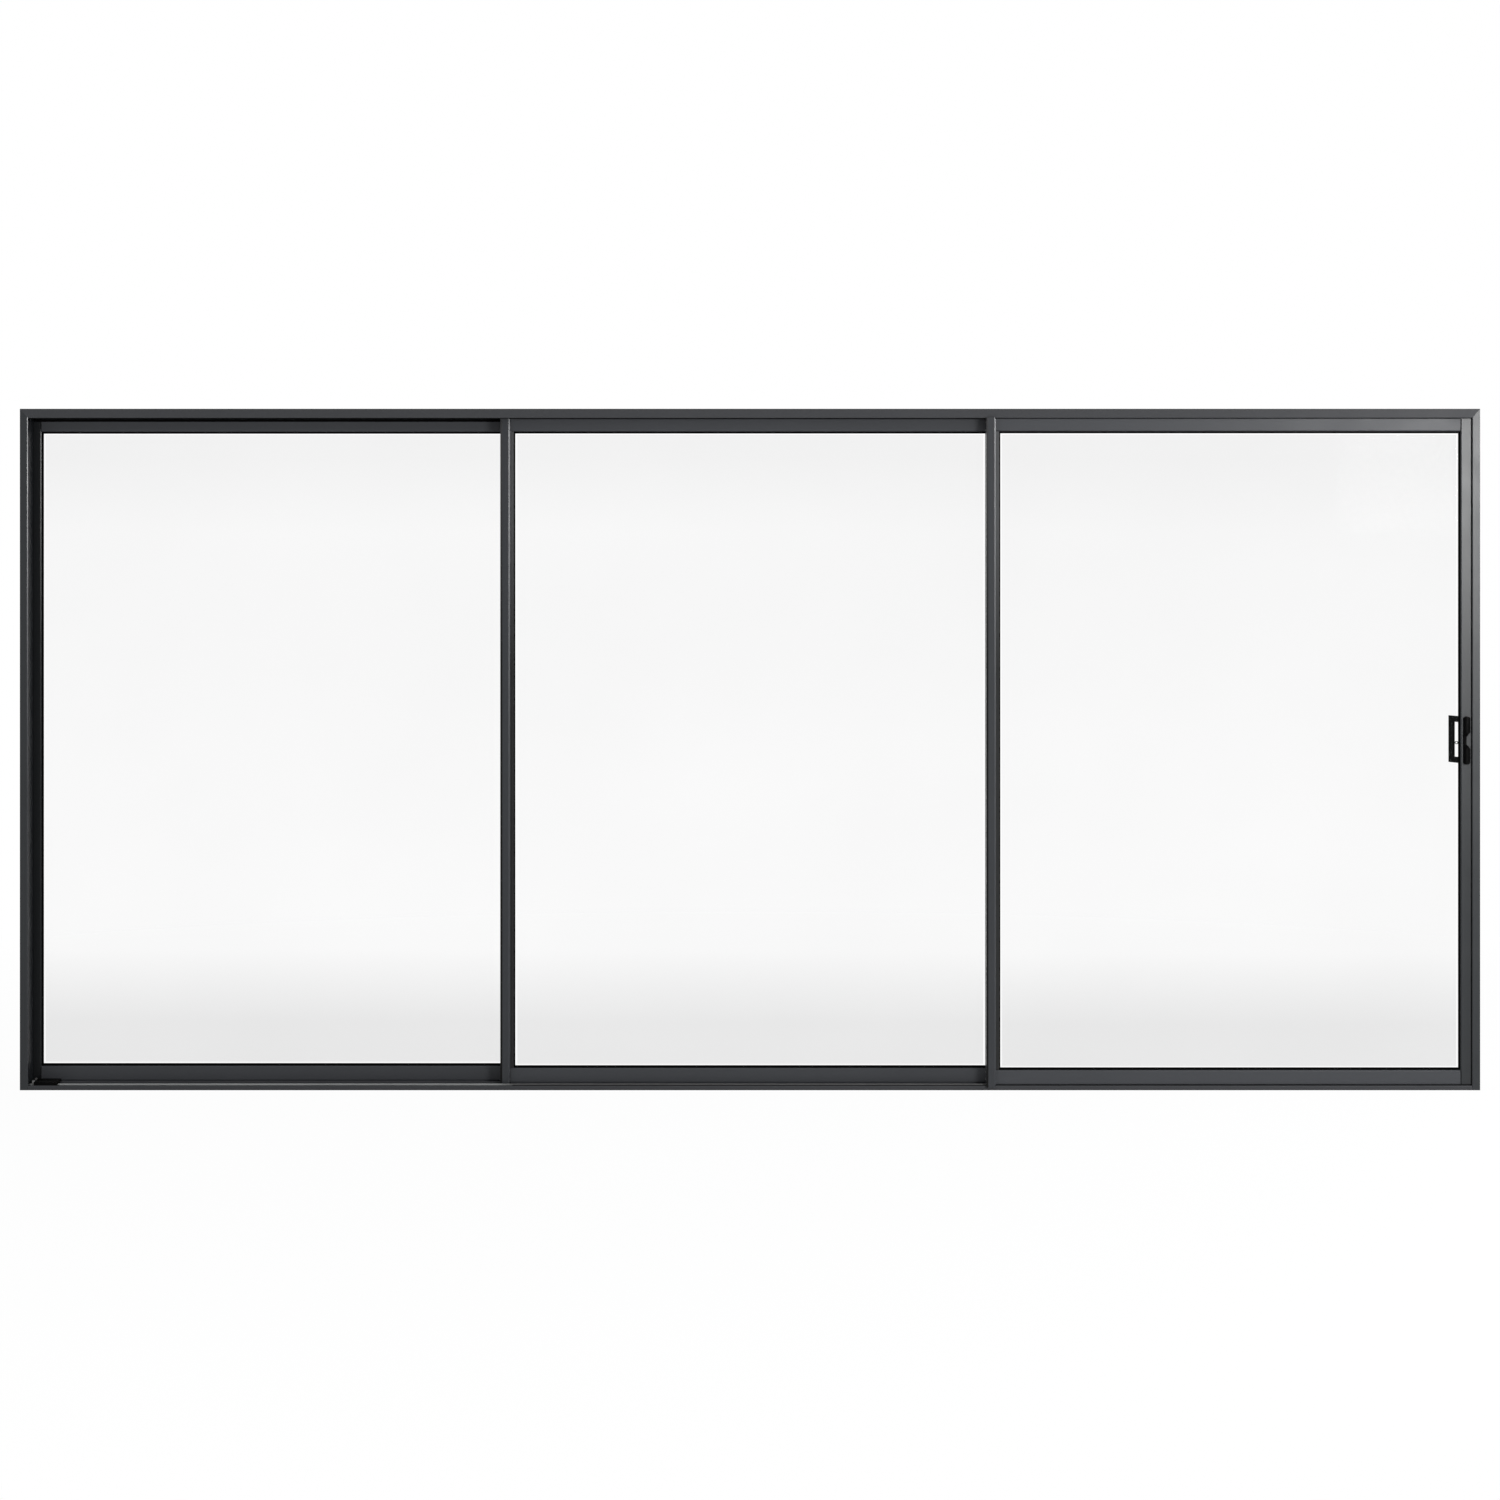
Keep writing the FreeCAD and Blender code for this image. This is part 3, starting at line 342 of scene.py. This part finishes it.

# Leaves' rails and stiles. The same coated extrusions as the frame, cut square and screwed
# together. The interlock and lock stiles take darker copies of the coat than the rails, and the
# fixed leaf's stile at the jamb a nearly black one: lit and shaded copies of one coat, painted
# shade.
SASH_BEVEL = 0.003
beside_glass = -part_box("left_leaf_jamb_stile")[1][0]
leaf_coat = powder_coat("charcoal_coat_leaves", (0.047, 0.049, 0.053), (0.054, 0.056, 0.061), 0.13)
# Painted shade: the interlocks' and the jamb stile's coats are darker copies of the leaves' one.
interlock_coat = powder_coat(
    "charcoal_coat_shaded_interlocks", (0.026, 0.028, 0.031), (0.031, 0.033, 0.037), 0.22
)
jamb_stile_coat = powder_coat(
    "charcoal_coat_shaded_jamb_stile",
    (0.007, 0.008, 0.009),
    (0.010, 0.011, 0.012),
    0.13,
    burnish=(beside_glass, beside_glass + SASH_BEVEL),
)
coat_of_stile = {
    "interlock_stile": interlock_coat,
    "jamb_stile": jamb_stile_coat,
    "lock_stile": jamb_coat,
}
leaf_bars = [
    "left_leaf_top_rail",
    "left_leaf_bottom_rail",
    "left_leaf_jamb_stile",
    "left_leaf_meeting_stile",
    "middle_leaf_top_rail",
    "middle_leaf_bottom_rail",
    "middle_leaf_interlock_stile",
    "middle_leaf_meeting_stile",
    "right_leaf_top_rail",
    "right_leaf_bottom_rail",
    "right_leaf_interlock_stile",
    "right_leaf_lock_stile",
]
for name in leaf_bars:
    coat(name, coat_of_stile.get(name.split("_leaf_")[1], leaf_coat))

# Shadow strip. A black strip along the top of the fixed leaf's front face, a painted shadow of the
# head on the leaf. It is of the black foam of the sill end pads.
SHADOW_DROP = 0.0078
SHADOW_WALL = 0.0025
SHADOW_EDGE = 0.0006
# This black also paints the shadow strip on the fixed leaf.
foam_and_shadow = Finish("black_foam_and_painted_shadow", (0.003, 0.003, 0.003), 0.95)
foam_and_shadow.set("Specular IOR Level", 0.0)
foam_and_shadow.bump(foam_and_shadow.noise(2200.0), 0.0002)
stile_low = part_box("left_leaf_jamb_stile")[0]
rail_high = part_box("left_leaf_top_rail")[1]
top = rail_high[2] - LEG
bottom = top - SHADOW_DROP
back, front = stile_low[1], stile_low[1] - SHADOW_WALL
shape = bmesh.new()
section = [(back, bottom), (front + SHADOW_EDGE, bottom), (front, bottom + SHADOW_EDGE)]
section += [(front, top - SHADOW_EDGE), (front + SHADOW_EDGE, top), (back, top)]
bar(shape, section, 0, stile_low[0] + LEG, rail_high[0])
piece("left_leaf_painted_shadow_strip", shape, foam_and_shadow, "frame")

# Sill end pads. Blocks of the same foam in the open grooves of the jambs, between the jamb and the
# end of the sill, which keep the water in the sill. The infills close the other two grooves.
END_PAD_TOP = 0.006
SNUG = 0.0001
infill_low, infill_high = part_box("front_jamb_infill")
middle_low, middle_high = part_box("middle_jamb_infill")
front_groove = (infill_low[1] + SNUG, infill_high[1] - SNUG)
middle_groove = (middle_low[1] + SNUG, middle_high[1] - SNUG)
rear_groove = (-front_groove[1], -front_groove[0])
sill_end, jamb_web = sill_high[0] + SNUG, -infill_low[0] - SNUG
shape = bmesh.new()
for (near, far), start, end in (
    (front_groove, sill_end, jamb_web),
    (middle_groove, sill_end, jamb_web),
    (rear_groove, sill_end, jamb_web),
    (rear_groove, -jamb_web, -sill_end),
):
    section = [(near, SNUG), (far, SNUG), (far, END_PAD_TOP), (near, END_PAD_TOP)]
    bar(shape, section, 0, start, end)
piece("sill_end_pads", shape, foam_and_shadow, "frame")

# Joint pads. Black butyl pads between the rails' ends and the stiles, squeezed out as a fine line
# on both faces of the leaf.
PAD_HALF = 0.0007
PAD_PROUD = 0.00012
butyl = Finish("black_butyl", (0.004, 0.004, 0.004), 0.6)
butyl.set("Roughness", butyl.spread(butyl.noise(300.0), 0.5, 0.7))
butyl.set("Specular IOR Level", 0.15)
body_of_leaf = {"left_leaf": "frame", "middle_leaf": "middle_leaf", "right_leaf": "right_leaf"}
for leaf, body in body_of_leaf.items():
    shape = bmesh.new()
    for which, low_leg, high_leg in (("top", 0.0, LEG), ("bottom", LEG, 0.0)):
        low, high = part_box(f"{leaf}_{which}_rail")
        for joint in (low[0], high[0]):
            for face, out in ((low[1], -PAD_PROUD), (high[1], PAD_PROUD)):
                left, right, root = joint - PAD_HALF, joint + PAD_HALF, face - 2 * out
                section = [(left, root), (left, face), (joint, face + out)]
                section += [(right, face), (right, root)]
                bar(shape, section, 2, low[2] + low_leg, high[2] - high_leg)
    piece(f"{leaf}_joint_pads", shape, butyl, body)

# Interlock wedges and shadow beads. Dark rubber strips pressed over the set-back lips beside the
# noses of the interlocks, and flat black beads along the noses' free edges, which paint the shadow
# line beside each nose. Both are painted paler towards the top, a painted highlight.
NOSE_WIDTH = 0.030
LIP_SETBACK = 0.0025
WEDGE_PROUD = 0.0009
WEDGE_EDGE = 0.001
BEAD_WIDTH = 0.0062
BEAD_PROUD = 0.0003
BEAD_EDGE = 0.0003
BEAD_END_GAP = 0.001
wedge = Finish("dark_wedge_rubber", (0.010, 0.010, 0.010), 0.6)
mottle = wedge.noise(40.0, 3.0)
wedge_tone = wedge.blend(mottle, (0.008, 0.008, 0.008), (0.013, 0.013, 0.013))
wedge_lit_tone = wedge.blend(mottle, (0.058, 0.059, 0.060), (0.070, 0.071, 0.073))
# Painted highlight: the wedge turns paler towards the top, where the lamp's light falls.
wedge_lit_at_top = wedge.spread(wedge.along("Z"), 0.0, 1.0, 1.30, 1.75)
wedge.set("Base Color", wedge.mix(wedge_lit_at_top, wedge_tone, wedge_lit_tone))
wedge.set("Specular IOR Level", 0.25)
wedge.bump(wedge.noise(900.0), 0.00004)
shadow_line_bead = Finish("painted_shadow_bead", (0.006, 0.006, 0.006), 0.7)
# Painted highlight: the bead turns paler towards the top.
bead_lit_at_top = shadow_line_bead.spread(shadow_line_bead.along("Z"), 0.0, 1.0, 1.30, 1.95)
shadow_line_bead.set("Base Color", shadow_line_bead.blend(bead_lit_at_top, (0.006, 0.006, 0.006), (0.040, 0.040, 0.041)))
shadow_line_bead.set("Roughness", shadow_line_bead.spread(shadow_line_bead.noise(120.0), 0.62, 0.78))
shadow_line_bead.set("Specular IOR Level", 0.08)
for leaf in ("middle_leaf", "right_leaf"):
    low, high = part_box(f"{leaf}_interlock_stile")
    top_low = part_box(f"{leaf}_top_rail")[0]
    bottom_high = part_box(f"{leaf}_bottom_rail")[1]
    face = top_low[1] + LIP_SETBACK
    near, far = low[0] + NOSE_WIDTH, high[0]
    out = face - WEDGE_PROUD
    section = [(near, face), (near, out), (far - WEDGE_EDGE, out)]
    section += [(far, out + WEDGE_EDGE / 2), (far, face)]
    shape = bmesh.new()
    bar(shape, section, 2, bottom_high[2], top_low[2])
    piece(f"{leaf}_interlock_wedge", shape, wedge, leaf)
    nose, out = low[1], low[1] - BEAD_PROUD
    left, right = low[0] + BEAD_EDGE, low[0] + BEAD_WIDTH
    section = [(left, nose), (left + BEAD_EDGE, out), (right - BEAD_EDGE, out), (right, nose)]
    shape = bmesh.new()
    bar(shape, section, 2, low[2] + BEAD_END_GAP, high[2] - BEAD_END_GAP)
    piece(f"{leaf}_interlock_shadow_bead", shape, shadow_line_bead, leaf)

# Screws. Pan heads with cross recesses, of blackened stainless steel. They hold the rails to the
# interlock stiles, the pull, the keeper and the buffers' brackets.
HEAD_POINTS = 32
# Rings from the rim over the crown into the recess: how far out and how high, in radii of the head.
# Those with no reach of their own follow the arms and corners of the cross.
HEAD_RINGS = ((1.0, 0.0), (1.0, 0.28), (0.86, 0.46), (0.62, 0.56), (0.0, 0.58), (0.0, 0.24))
CROSS_ARM = 0.48
CROSS_CORNER = 0.17
CROSS_TAPER = 0.7
RAIL_SCREW_HEIGHTS = (0.030, 0.052, 2.036, 2.060)
RAIL_SCREW = 0.0040
PULL_SCREW = 0.0036
KEEPER_SCREW = 0.0032
BRACKET_SCREW = 0.0024
SCREW_INSET = 0.010
PULL_SCREW_INSET = 0.0105
PULL_WALL = 0.003


def screw(shape, centre, facing, radius):
    """Adds a screw's head to a mesh, on a surface that faces along an axis, such as +y."""
    axis = "xyz".index(facing[1])
    outward = 1.0 if facing[0] == "+" else -1.0
    quarter = HEAD_POINTS // 4
    loops = []
    for share, height in HEAD_RINGS:
        loop = []
        for i in range(HEAD_POINTS):
            turn = 2 * math.pi * i / HEAD_POINTS
            in_arm = i % quarter in (0, 1, quarter - 1)
            reach = share or (CROSS_ARM if in_arm else CROSS_CORNER)
            if (share, height) == HEAD_RINGS[-1]:
                reach *= CROSS_TAPER
            flat = (radius * reach * math.cos(turn), radius * reach * math.sin(turn))
            offset = (*flat[:axis], outward * radius * height, *flat[axis:])
            loop.append(shape.verts.new([c + o for c, o in zip(centre, offset)]))
        loops.append(loop)
    for inner, outer in zip(loops[1:], loops):
        for i in range(HEAD_POINTS):
            j = (i + 1) % HEAD_POINTS
            shape.faces.new((outer[i], outer[j], inner[j], inner[i]))
    shape.faces.new(loops[-1])


blackened = Finish("blackened_steel", (0.09, 0.09, 0.09), 0.42, metallic=1.0)
blackened.set("Roughness", blackened.spread(blackened.noise(900.0), 0.34, 0.5))
for leaf in ("middle_leaf", "right_leaf"):
    stile_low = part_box(f"{leaf}_interlock_stile")[0]
    rail_low, rail_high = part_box(f"{leaf}_top_rail")
    centre = (rail_low[1] + rail_high[1]) / 2
    shape = bmesh.new()
    for height in RAIL_SCREW_HEIGHTS:
        screw(shape, (stile_low[0], centre, height), "-x", RAIL_SCREW)
    if leaf == "right_leaf":
        low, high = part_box("inside_pull")
        for height in (low[2] + SCREW_INSET, high[2] - SCREW_INSET):
            spot = (high[0] - PULL_SCREW_INSET, low[1] + PULL_WALL, height)
            screw(shape, spot, "+y", PULL_SCREW)
    piece(f"{leaf}_screws", shape, blackened, leaf)
shape = bmesh.new()
low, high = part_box("lock_keeper")
for height in (low[2] + SCREW_INSET, high[2] - SCREW_INSET):
    screw(shape, (low[0], (low[1] + high[1]) / 2, height), "-x", KEEPER_SCREW)
for track in ("front", "middle"):
    low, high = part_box(f"{track}_track_bracket")
    spot = ((low[0] + high[0]) / 2, (low[1] + high[1]) / 2, high[2])
    screw(shape, spot, "+z", BRACKET_SCREW)
piece("frame_screws", shape, blackened, "frame")

# Panes. Clear toughened float glass, 6 mm thick, with hardly any tint. Each is held by its edges in
# the gasket of its leaf.
pane = Finish("clear_float_glass", (0.02, 0.024, 0.022), 0.03)
# The faint cloudy mottling of the alpha is painted reflection.
pane.set("Alpha", pane.spread(pane.noise(1.6, 3.0), 0.005, 0.012))
pane.set("Specular IOR Level", 0.3)
for leaf in body_of_leaf:
    paint(f"{leaf}_glass", pane)

# Painted reflection. A faint dark sheet on the back of each pane, trimmed a few millimetres short
# of the gaskets, which paints the reflections in the glass. It is a little denser towards the head,
# and most towards the sill.
GASKET_COVER = 0.0125
REFLECTION_TRIM = 0.006
REFLECTION_OFF = 0.0001
reflection_paint = Finish("neutral_sun_film", (0.03, 0.03, 0.03), 0.4)
reflection_paint.set("Specular IOR Level", 0.0)
# Painted reflection: reflected clouds and darker bands at the head and sill, lighter mid-height.
height = reflection_paint.along("Z")
top_band = reflection_paint.spread(height, 0.0, 0.050, 1.72, 1.95)
sill_band = reflection_paint.spread(height, 0.135, 0.0, 0.20, 0.42)
low_light = reflection_paint.spread(height, 0.018, 0.0, 0.70, 1.30)
reflected_clouds = reflection_paint.spread(reflection_paint.noise(0.9, 3.0, z=1.6), 0.045, 0.065)
reflection_paint.set("Alpha", reflected_clouds + top_band + sill_band - low_light)
for leaf, body in body_of_leaf.items():
    low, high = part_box(f"{leaf}_glass")
    inset = GASKET_COVER + REFLECTION_TRIM
    left, right = low[0] + inset, high[0] - inset
    bottom, top = low[2] + inset, high[2] - inset
    back = high[1] + REFLECTION_OFF
    shape = bmesh.new()
    spots = [(left, back, bottom), (left, back, top), (right, back, top), (right, back, bottom)]
    shape.faces.new([shape.verts.new(spot) for spot in spots])
    piece(f"{leaf}_sun_film", shape, reflection_paint, body)

# Glazing gaskets. Black wedge seals of extruded rubber, closed to a ring at the corners and pushed
# in round each pane from both sides.
seal = Finish("glazing_rubber", (0.001, 0.001, 0.001), 0.8)
seal.set("Roughness", seal.spread(seal.noise(200.0), 0.72, 0.88))
seal.set("Specular IOR Level", 0.03)
seal.bump(seal.noise(900.0), 0.00004)
for leaf in body_of_leaf:
    coat(f"{leaf}_gasket", seal, radius=0.0006)

# Rail seals. Wider seals along the top and bottom of each pane, of the same rubber. Each has a foot
# on the rail's ledge, a body over the gasket and a thin lip that lies on the glass and sheds the
# water.
IN_RAIL = 0.010
LEDGE_BEVEL = 0.003
SEAL_SKIN = 0.0004
SEAL_FOOT = 0.0008
SEAL_BODY = 0.0045
SEAL_REACH = 0.0061
SEAL_LIP_ROOT = 0.0011
SEAL_LIP_TIP = 0.0004
for leaf, body in body_of_leaf.items():
    gasket_low, gasket_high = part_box(f"{leaf}_gasket")
    glass_low, glass_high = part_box(f"{leaf}_glass")
    rail_low, rail_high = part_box(f"{leaf}_top_rail")
    shape = bmesh.new()
    sides = (
        (rail_low[1] + LEDGE_BEVEL, gasket_low[1], glass_low[1], -1.0),
        (rail_high[1] - LEDGE_BEVEL, gasket_high[1], glass_high[1], 1.0),
    )
    for ledge, upward in ((gasket_low[2] + IN_RAIL, 1.0), (gasket_high[2] - IN_RAIL, -1.0)):
        for edge, gasket_face, glass_face, out in sides:
            face = gasket_face + out * SEAL_SKIN
            steps = [(edge, 0.0), (edge, SEAL_FOOT), (face, SEAL_FOOT), (face, SEAL_BODY)]
            steps += [(glass_face + out * SEAL_LIP_ROOT, SEAL_BODY + SEAL_SKIN)]
            steps += [(glass_face + out * SEAL_LIP_TIP, SEAL_REACH)]
            steps += [(glass_face, SEAL_REACH), (glass_face, 0.0)]
            section = [(y, ledge + upward * rise) for y, rise in steps]
            bar(shape, section, 0, gasket_low[0] + IN_RAIL, gasket_high[0] - IN_RAIL)
    piece(f"{leaf}_rail_seals", shape, seal, body)

# Rollers. Grooved wheels turned from nylon, each in one piece with its axle. They are hidden in the
# bottom rails, whose walls hold the axles.
nylon = Finish("nylon", (0.60, 0.60, 0.56), 0.45)
nylon.set("Roughness", nylon.spread(nylon.noise(150.0), 0.38, 0.52))
for leaf in ("middle_leaf", "right_leaf"):
    for side in ("left", "right"):
        coat(f"{leaf}_{side}_roller", nylon, radius=0.0003)

# Packers. Black moulded plastic blocks under the bottom rail of the fixed leaf, which carry its
# weight.
packing = Finish("packer_plastic", (0.03, 0.03, 0.03), 0.5)
packing.bump(packing.noise(600.0), 0.00004)
for side in ("left", "right"):
    coat(f"left_leaf_{side}_packer", packing)

# Lock. A black die-cast housing on the front of the lock stile, and on its back a pull folded from
# one black plate and screwed on.
black = Finish("black_lock_coat", (0.0009, 0.0009, 0.001), 0.45)
black.set("Roughness", black.spread(black.noise(90.0, 3.0), 0.40, 0.52))
black.set("Specular IOR Level", 0.025)
black.bump(black.noise(1100.0), 0.00003)
coat("lock_housing", black, radius=0.0014, segments=3)
coat("inside_pull", black, radius=0.0006, segments=3)

# Latch lever and keeper. Plated steel stampings, darkened by handling. The lever is held in the
# lock, and the keeper is screwed to the right jamb.
steel = Finish("plated_steel", (0.05, 0.05, 0.048), 0.38, metallic=1.0)
steel.set("Roughness", steel.spread(steel.noise(200.0, 3.0), 0.3, 0.48))
coat("latch_lever", steel, radius=0.0004)
coat("lock_keeper", steel, radius=0.0003)

# Floor, light and camera. A white floor and world, a soft lamp at the upper right whose reflection
# lies in the right jamb, a small one far to the right for the bevels, and a weak fill from the
# upper left.
FLOOR_REACH = 60.0
corners = ((-1, -1), (1, -1), (1, 1), (-1, 1))
shape = bmesh.new()
spots = [(FLOOR_REACH * x, FLOOR_REACH * y, 0.0) for x, y in corners]
shape.faces.new([shape.verts.new(spot) for spot in spots])
floor_mesh = bpy.data.meshes.new("floor")
shape.to_mesh(floor_mesh)
shape.free()
floor = bpy.data.objects.new("floor", floor_mesh)
bpy.context.scene.collection.objects.link(floor)
floor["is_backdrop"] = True


def white_to_the_eye(graph, plain, white, share):
    """Shows the white shader directly, in glass and in metal. The plain one lights the door."""
    seen = graph.add("LightPath", {}, {}, out="Is Camera Ray")
    for kind in ("Is Glossy Ray", "Is Transmission Ray"):
        other = graph.add("LightPath", {}, {}, out=kind)
        seen = graph.add("Math", {"operation": "MAXIMUM"}, {0: seen, 1: other})
    return graph.add("MixShader", {}, {0: seen * share, 1: plain, 2: white})


paper = Finish("white_paper", (0.86, 0.86, 0.86), 0.9)
floor_mesh.materials.append(paper.material)
glow = paper.add("Emission", {}, {"Color": (1.0, 1.0, 1.0, 1.0), "Strength": 1.0})
away = paper.add("VectorMath", {"operation": "LENGTH"}, {0: paper.place()}, out="Value")
lit = paper.spread(away, 0.955, 1.0, 2.3, 5.0)
shown = white_to_the_eye(paper, Wire(paper, paper.shader.outputs[0]), glow, lit)
paper.set("Surface", shown, paper.tree.nodes["Material Output"])

world = bpy.data.worlds.new("studio")
bpy.context.scene.world = world
world.use_nodes = True
sky = Graph(world.node_tree, "World Output")
ambient = sky.add("Background", {}, {"Color": (0.93, 0.96, 1.0, 1.0), "Strength": 0.42})
white = sky.add("Background", {}, {"Color": (1.0, 1.0, 1.0, 1.0), "Strength": 1.0})
sky.set("Surface", white_to_the_eye(sky, ambient, white, 1.0))


def softbox(name, place, target, width, height, watts):
    """A soft lamp at a place, turned to a target."""
    light = bpy.data.lights.new(name, "AREA")
    light.shape = "RECTANGLE"
    light.size = width
    light.size_y = height
    light.energy = watts
    lamp = bpy.data.objects.new(name, light)
    lamp.location = place
    aim = [target[i] - place[i] for i in range(3)]
    flat = math.hypot(aim[0], aim[1])
    lamp.rotation_euler = (math.atan2(flat, -aim[2]), 0.0, math.atan2(aim[1], aim[0]) - math.pi / 2)
    bpy.context.scene.collection.objects.link(lamp)


softbox("key", (3.6, -6.0, 2.1), (1.0, 0.0, 1.2), 1.8, 0.9, 230.0)
softbox("edge", (5.6, -0.7, 2.15), (0.0, 0.0, 1.4), 1.0, 1.0, 190.0)
softbox("fill", (-5.5, -4.0, 4.5), (0.0, 0.0, 1.0), 3.0, 3.0, 90.0)

lens = bpy.data.cameras.new("camera")
lens.sensor_width = 36.0
lens.lens = 92.68
lens.shift_y = -0.17317
camera = bpy.data.objects.new("camera", lens)
camera.location = (0.0, -11.967, 1.849)
camera.rotation_euler = (math.pi / 2, 0.0, 0.0)
bpy.context.scene.collection.objects.link(camera)
bpy.context.scene.camera = camera
bpy.context.scene.view_settings.view_transform = "Standard"

low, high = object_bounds()
